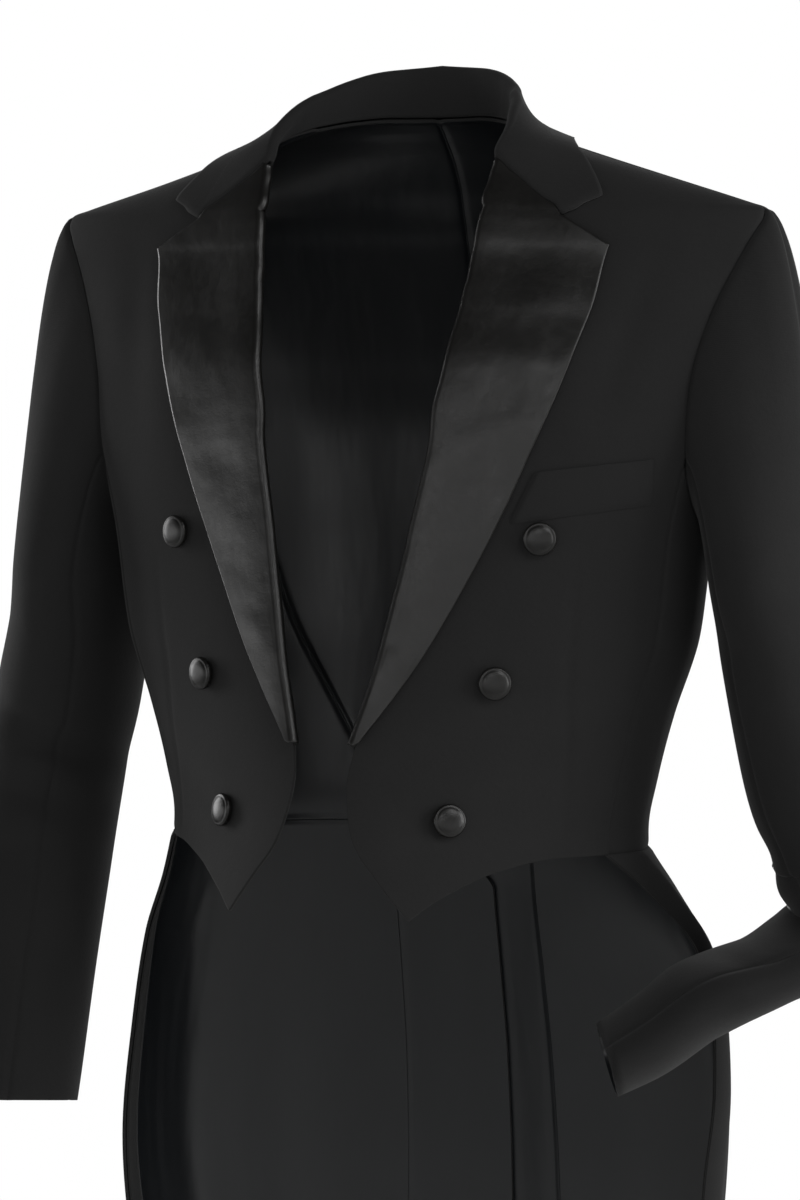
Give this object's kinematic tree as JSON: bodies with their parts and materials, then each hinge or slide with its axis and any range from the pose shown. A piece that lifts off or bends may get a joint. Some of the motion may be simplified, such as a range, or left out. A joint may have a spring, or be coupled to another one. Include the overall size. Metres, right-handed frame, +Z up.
{
  "type": "tailcoat",
  "caption": "White tie tailcoat, worn hollow form: waist-length fronts with satin lapels and covered buttons, two long tails behind, open neck, cuffs and hem.",
  "frame": {"origin": "between the shoulders, at the base of the neck, where the wearer holds the coat up", "axes": "+Z up, the coat's front faces -Y, the wearer's left is +X"},
  "size_m": [0.6245, 0.2786, 1.0384],
  "materials": {
    "wool": "matte black wool twill",
    "satin": "black silk satin with a soft shine",
    "lining_satin": "black lining satin"
  },
  "bodies": {
    "root": {"front_L": "wool", "front_R": "wool", "side_body_L": "wool", "side_body_R": "wool", "back_L": "wool", "back_R": "wool", "tail_strip_L": "wool", "tail_strip_R": "wool", "tail_skirt_L": "wool", "tail_skirt_R": "wool", "tail_lining_L": "lining_satin", "tail_lining_R": "lining_satin", "tail_facing_L": "wool", "tail_facing_R": "wool", "sleeve_head_L": "wool", "sleeve_head_R": "wool", "upper_forearm_L": "wool", "upper_forearm_R": "wool", "under_forearm_L": "wool", "under_forearm_R": "wool", "upper_sleeve_L": "wool", "upper_sleeve_R": "wool", "under_sleeve_L": "wool", "under_sleeve_R": "wool", "lapel_L": "satin", "lapel_R": "satin", "collar": "wool", "chest_welt": "wool", "front_button_L1": "satin", "front_button_L2": "satin", "front_button_L3": "satin", "front_button_R1": "satin", "front_button_R2": "satin", "front_button_R3": "satin", "back_button_L": "satin", "back_button_R": "satin"}
  },
  "joints": []
}
